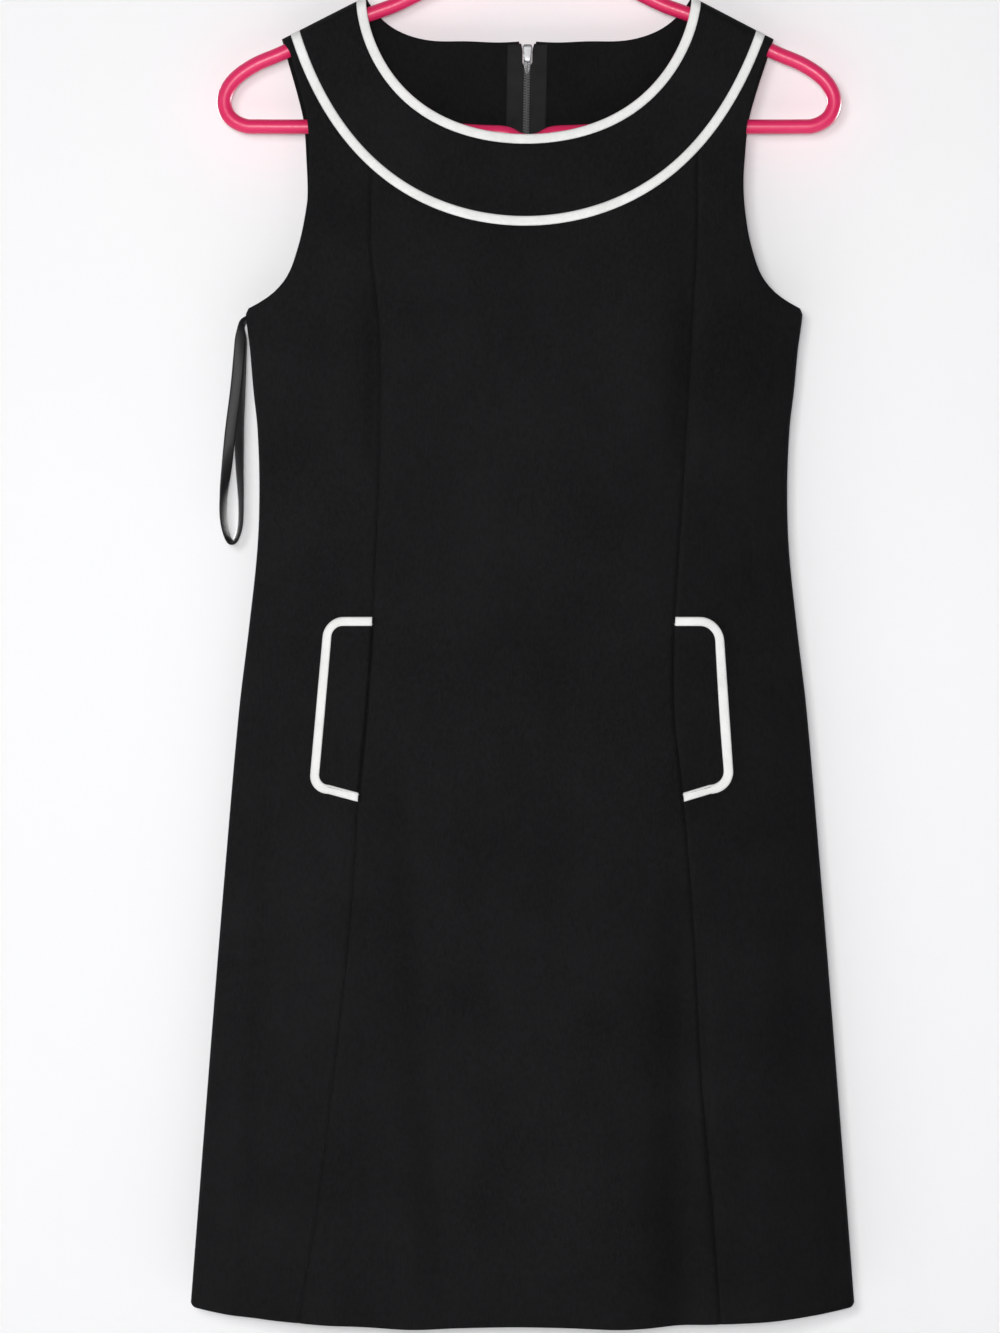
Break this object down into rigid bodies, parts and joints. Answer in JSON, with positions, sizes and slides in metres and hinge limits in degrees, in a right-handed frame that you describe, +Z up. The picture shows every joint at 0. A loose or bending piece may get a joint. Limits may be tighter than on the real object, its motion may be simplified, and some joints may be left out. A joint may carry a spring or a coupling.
{
  "type": "shift dress on a hanger",
  "caption": "Sleeveless black shift dress with a white-bound curved yoke and two white-bound upright pocket flaps, zipped at the back, on a pink plastic hanger.",
  "frame": {"origin": "inside top of the hanger's hook, where a clothes rail carries it", "axes": "+Z up, the dress faces -Y, +X to the right of someone who looks at its front"},
  "size_m": [0.4779, 0.0868, 1.0943],
  "materials": {
    "crepe": "matt black crepe with a fine dry grain and a faint sheen at grazing angles",
    "binding": "matt white woven binding",
    "zip_tape": "matt black woven tape",
    "zip_chain": "dark grey nylon coil",
    "zip_metal": "worn silver-coloured plated metal",
    "ribbon": "black satin ribbon",
    "hanger_plastic": "glossy hot pink moulded plastic"
  },
  "bodies": {
    "dress": {"front_centre": "crepe", "front_side_left": "crepe", "front_side_right": "crepe", "yoke": "crepe", "back_left": "crepe", "back_right": "crepe", "pocket_flap_left": "crepe", "pocket_flap_right": "crepe", "neck_binding": "binding", "yoke_binding": "binding", "flap_binding_left": "binding", "flap_binding_right": "binding", "zip_tape_left": "zip_tape", "zip_tape_right": "zip_tape", "zip_chain": "zip_chain", "zip_slider": "zip_metal", "hanging_ribbon": "ribbon", "hanger": "hanger_plastic"},
    "zip_pull": {"zip_pull_tab": "zip_metal"}
  },
  "joints": [
    {"name": "pull_tab_hinge", "type": "hinge", "parent": "dress", "child": "zip_pull", "pos_m": [-0.00109, 0.01289, -0.1735], "axis": [1, 0, 0], "range_deg": [0, 150]}
  ]
}
